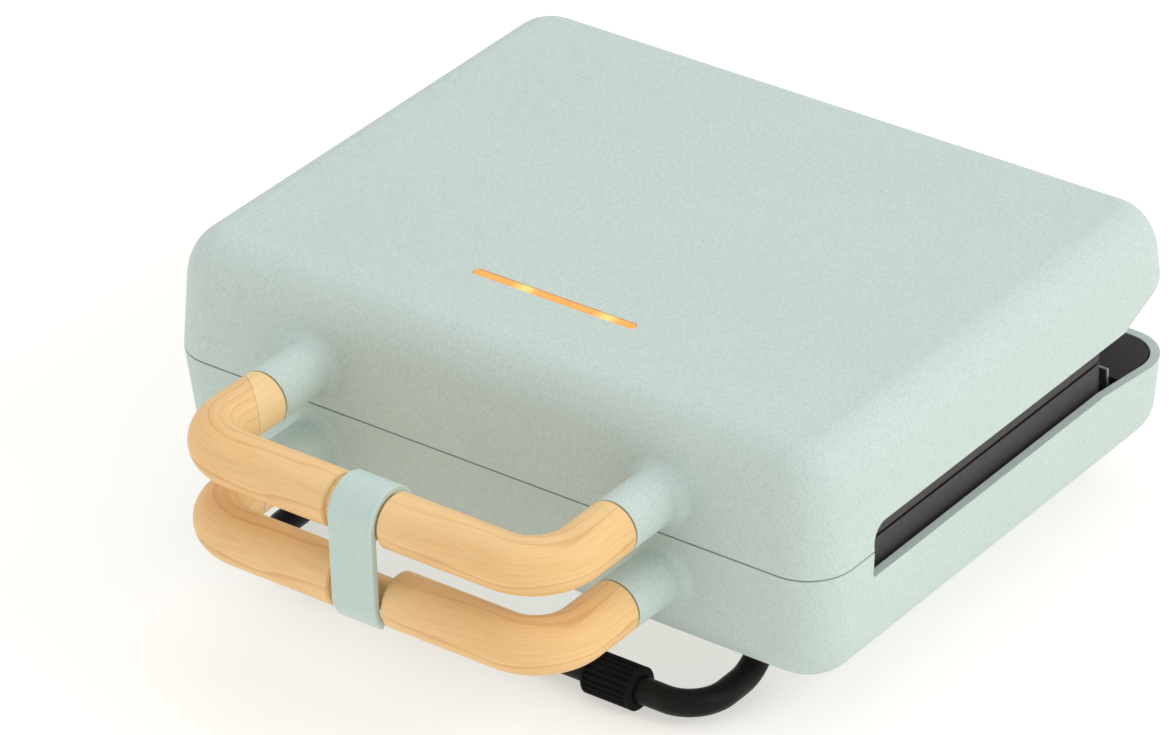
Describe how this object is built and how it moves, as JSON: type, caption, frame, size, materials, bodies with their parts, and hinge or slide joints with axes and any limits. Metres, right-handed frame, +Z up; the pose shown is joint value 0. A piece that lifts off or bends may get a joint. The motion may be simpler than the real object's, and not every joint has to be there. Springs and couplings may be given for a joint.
{
  "type": "donut maker",
  "caption": "Clam-shell ring-cake maker: hinged mint lid and base, wooden bow handles joined by a swing latch, ring-mould plates and a bent-tube stand.",
  "frame": {"origin": "bottom centre of the whole object's box, on the table under the rubber sleeves", "axes": "+X to the right seen from the front, +Y from the handles to the hinge, +Z up"},
  "size_m": [0.25, 0.2746, 0.0997],
  "materials": {
    "mint_shell": "fine matt spark-textured moulding in soft mint",
    "mint_latch": "satin moulding in soft mint",
    "maple_handle": "clear-sealed maple with faint grain along the bar",
    "non_stick_plate": "charcoal-brown non-stick coating on cast aluminium",
    "black_plastic": "matt heat-resistant moulding",
    "black_tube": "black powder coat",
    "black_rubber": "matt ribbed rubber",
    "amber_lens": "translucent amber, lit from below in two places",
    "lamp_lens": "clear domed lamp",
    "circuit_board": "green lacquered board",
    "heater_sheath": "dull heat-tinted steel sheath",
    "ceramic": "unglazed off-white steatite",
    "reflector_sheet": "bright rolled sheet",
    "zinc_steel": "bright zinc plate"
  },
  "bodies": {
    "base": {"base_shell": "mint_shell", "lower_handle": "maple_handle", "hinge_cover": "black_plastic", "thermal_fuse": "ceramic", "terminal_block": "ceramic", "cord_gland": "black_plastic", "lower_cooking_plate": "non_stick_plate", "lower_carrier": "black_plastic", "lower_heating_element": "heater_sheath", "lower_reflector": "reflector_sheet", "lower_thermostat": "ceramic", "lower_plate_screw_1": "zinc_steel", "lower_plate_screw_2": "zinc_steel", "lower_plate_screw_3": "zinc_steel", "lower_plate_screw_4": "zinc_steel", "base_screw_1": "zinc_steel", "base_screw_2": "zinc_steel", "base_screw_3": "zinc_steel", "base_screw_4": "zinc_steel", "hinge_bracket_left": "zinc_steel", "hinge_pin_left": "zinc_steel", "plate_bracket_left": "zinc_steel", "lower_handle_screw_left": "zinc_steel", "front_foot_sleeve_left": "black_rubber", "rear_foot_sleeve_left": "black_rubber", "hinge_bracket_right": "zinc_steel", "hinge_pin_right": "zinc_steel", "plate_bracket_right": "zinc_steel", "lower_handle_screw_right": "zinc_steel", "front_foot_sleeve_right": "black_rubber", "rear_foot_sleeve_right": "black_rubber", "front_foot_bar": "black_tube", "rear_foot_bar": "black_tube"},
    "lid": {"lid_shell": "mint_shell", "light_bar_lens": "amber_lens", "indicator_board": "circuit_board", "power_lamp": "lamp_lens", "ready_lamp": "lamp_lens", "upper_handle": "maple_handle", "lid_rear_cover": "black_plastic", "upper_cooking_plate": "non_stick_plate", "upper_carrier": "black_plastic", "upper_heating_element": "heater_sheath", "upper_reflector": "reflector_sheet", "upper_thermostat": "ceramic", "upper_plate_screw_1": "zinc_steel", "upper_plate_screw_2": "zinc_steel", "upper_plate_screw_3": "zinc_steel", "upper_plate_screw_4": "zinc_steel", "lid_screw_1": "zinc_steel", "lid_screw_2": "zinc_steel", "lid_screw_3": "zinc_steel", "lid_screw_4": "zinc_steel", "hinge_arm_left": "zinc_steel", "upper_handle_screw_left": "zinc_steel", "hinge_arm_right": "zinc_steel", "upper_handle_screw_right": "zinc_steel"},
    "latch": {"latch_clip": "mint_latch"}
  },
  "joints": [
    {"name": "lid_hinge", "type": "hinge", "parent": "base", "child": "lid", "pos_m": [0, 0.11053, 0.0595], "axis": [-1, 0, 0], "range_deg": [0, 95]},
    {"name": "latch_pivot", "type": "hinge", "parent": "lid", "child": "latch", "pos_m": [0, -0.12677, 0.0728], "axis": [-1, 0, 0], "range_deg": [0, 100]}
  ]
}
